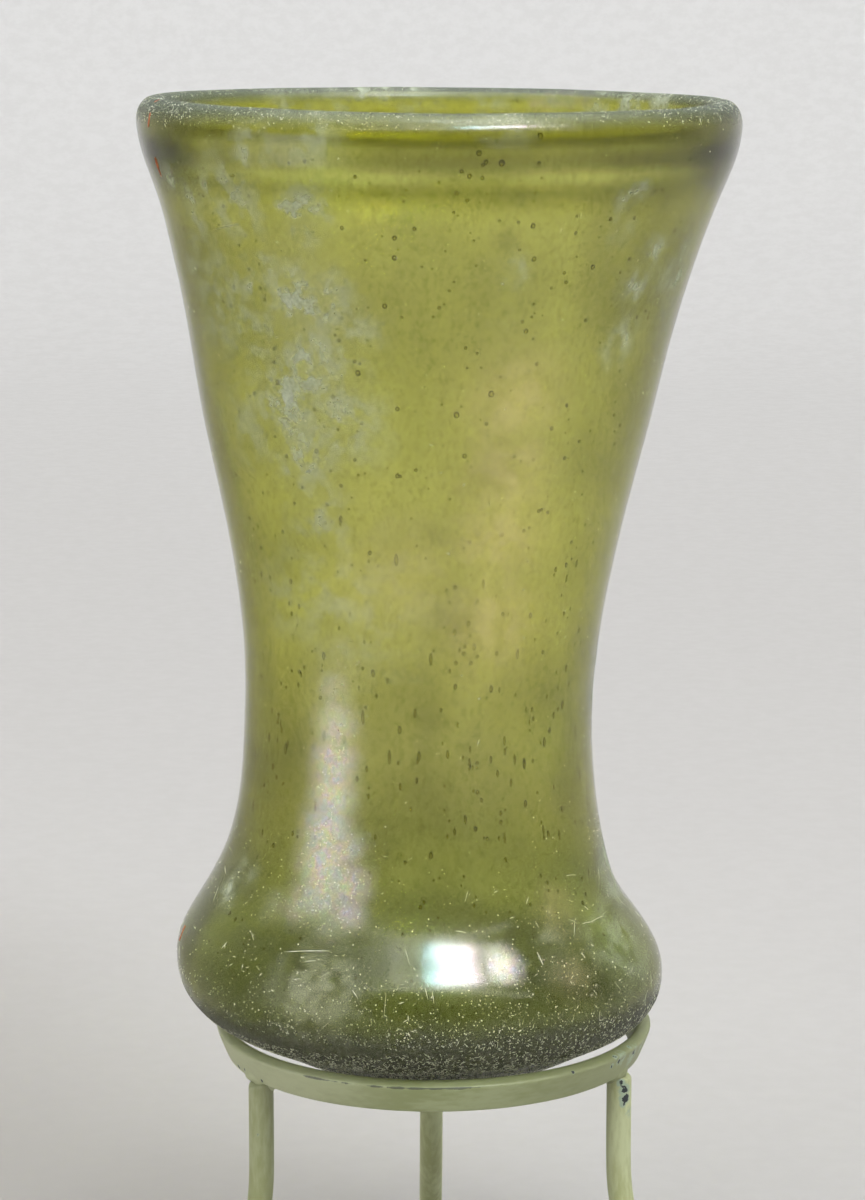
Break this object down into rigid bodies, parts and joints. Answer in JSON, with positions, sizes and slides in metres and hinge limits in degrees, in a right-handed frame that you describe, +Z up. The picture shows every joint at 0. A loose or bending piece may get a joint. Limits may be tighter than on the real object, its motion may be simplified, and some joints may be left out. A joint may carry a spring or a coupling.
{
  "type": "glass bell beaker",
  "caption": "Blown olive-green glass bell beaker with a flared, fire-rounded lip, narrow waist, swelling foot and round bottom, resting in a painted ring stand on bent legs.",
  "frame": {"origin": "on the surface it stands on, on the axis of the stand's ring", "axes": "+Z up along the beaker; the front is -Y, so +X is to the right in front view"},
  "size_m": [0.0802, 0.0803, 0.1686],
  "materials": {
    "olive_glass": "clear olive-green glass with seed bubbles, weathering film and fine scratches",
    "ring_paint": "brushed sage-green paint, worn along the upper edge",
    "leg_paint": "brushed olive-cream paint with a few chips"
  },
  "bodies": {
    "root": {"beaker": "olive_glass", "stand_ring": "ring_paint", "stand_leg_front_left": "leg_paint", "stand_leg_front_right": "leg_paint", "stand_leg_back": "leg_paint"}
  },
  "joints": []
}
